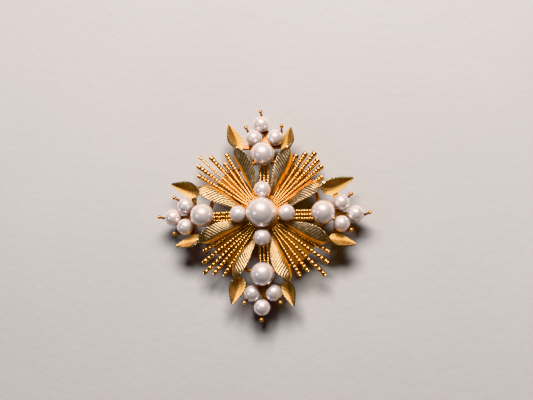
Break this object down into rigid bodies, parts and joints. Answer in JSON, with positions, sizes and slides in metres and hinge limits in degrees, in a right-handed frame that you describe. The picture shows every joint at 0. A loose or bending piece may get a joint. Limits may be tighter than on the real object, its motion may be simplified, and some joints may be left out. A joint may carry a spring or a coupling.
{
  "type": "brooch",
  "caption": "Domed gilt spray brooch: pearl arms set crosswise, twisted leaves and reeded rod fans between, hinged pin and turning catch behind.",
  "frame": {"origin": "middle of the brooch seen from the front, at the level its pin findings rest on", "axes": "+Z out of the face, +Y towards the top of the brooch, +X towards the catch"},
  "size_m": [0.05, 0.0497, 0.0141],
  "materials": {
    "gold": "polished gilt, darker in the recesses",
    "rod_gold": "polished gilt, closely reeded across each rod",
    "leaf_gold": "gilt, finely engraved on both faces",
    "findings_gold": "plain gilt",
    "pin_steel": "gilt steel, drawn along its length",
    "pearl": "lustrous nacre, white with a pink cast"
  },
  "bodies": {
    "brooch": {"hub": "gold", "back_bar": "gold", "gallery_ring": "gold", "leaf_posts": "gold", "centre_cup": "gold", "ring_cups": "gold", "centre_pearl": "pearl", "ring_pearl_east": "pearl", "arm_pearl_east": "pearl", "arm_cup_east": "gold", "arm_rods_east": "rod_gold", "bud_pearl_east_left": "pearl", "bud_pearl_east_right": "pearl", "bud_pearl_east_front": "pearl", "bud_mount_east": "gold", "bead_wires_east": "gold", "ring_pearl_north": "pearl", "arm_pearl_north": "pearl", "arm_cup_north": "gold", "arm_rods_north": "rod_gold", "bud_pearl_north_left": "pearl", "bud_pearl_north_right": "pearl", "bud_pearl_north_front": "pearl", "bud_mount_north": "gold", "bead_wires_north": "gold", "ring_pearl_west": "pearl", "arm_pearl_west": "pearl", "arm_cup_west": "gold", "arm_rods_west": "rod_gold", "bud_pearl_west_left": "pearl", "bud_pearl_west_right": "pearl", "bud_pearl_west_front": "pearl", "bud_mount_west": "gold", "bead_wires_west": "gold", "ring_pearl_south": "pearl", "arm_pearl_south": "pearl", "arm_cup_south": "gold", "arm_rods_south": "rod_gold", "bud_pearl_south_left": "pearl", "bud_pearl_south_right": "pearl", "bud_pearl_south_front": "pearl", "bud_mount_south": "gold", "bead_wires_south": "gold", "fan_north_east": "rod_gold", "fan_north_west": "rod_gold", "fan_south_west": "rod_gold", "fan_south_east": "rod_gold", "leaf_east_left": "leaf_gold", "leaf_east_right": "leaf_gold", "leaf_north_left": "leaf_gold", "leaf_north_right": "leaf_gold", "leaf_west_left": "leaf_gold", "leaf_west_right": "leaf_gold", "leaf_south_left": "leaf_gold", "leaf_south_right": "leaf_gold", "hinge_bracket": "findings_gold", "hinge_rivet": "findings_gold", "catch_body": "findings_gold"},
    "pin": {"pin_stem": "pin_steel"},
    "catch_lock": {"catch_rotor": "findings_gold"}
  },
  "joints": [
    {"name": "pin_hinge", "type": "hinge", "parent": "brooch", "child": "pin", "pos_m": [-0.0119, 0, 0.00175], "axis": [0, 1, 0], "range_deg": [0, 100]},
    {"name": "catch_turn", "type": "hinge", "parent": "brooch", "child": "catch_lock", "pos_m": [0.0121, 0, 0.00175], "axis": [1, 0, 0], "range_deg": [-100, 0]}
  ]
}
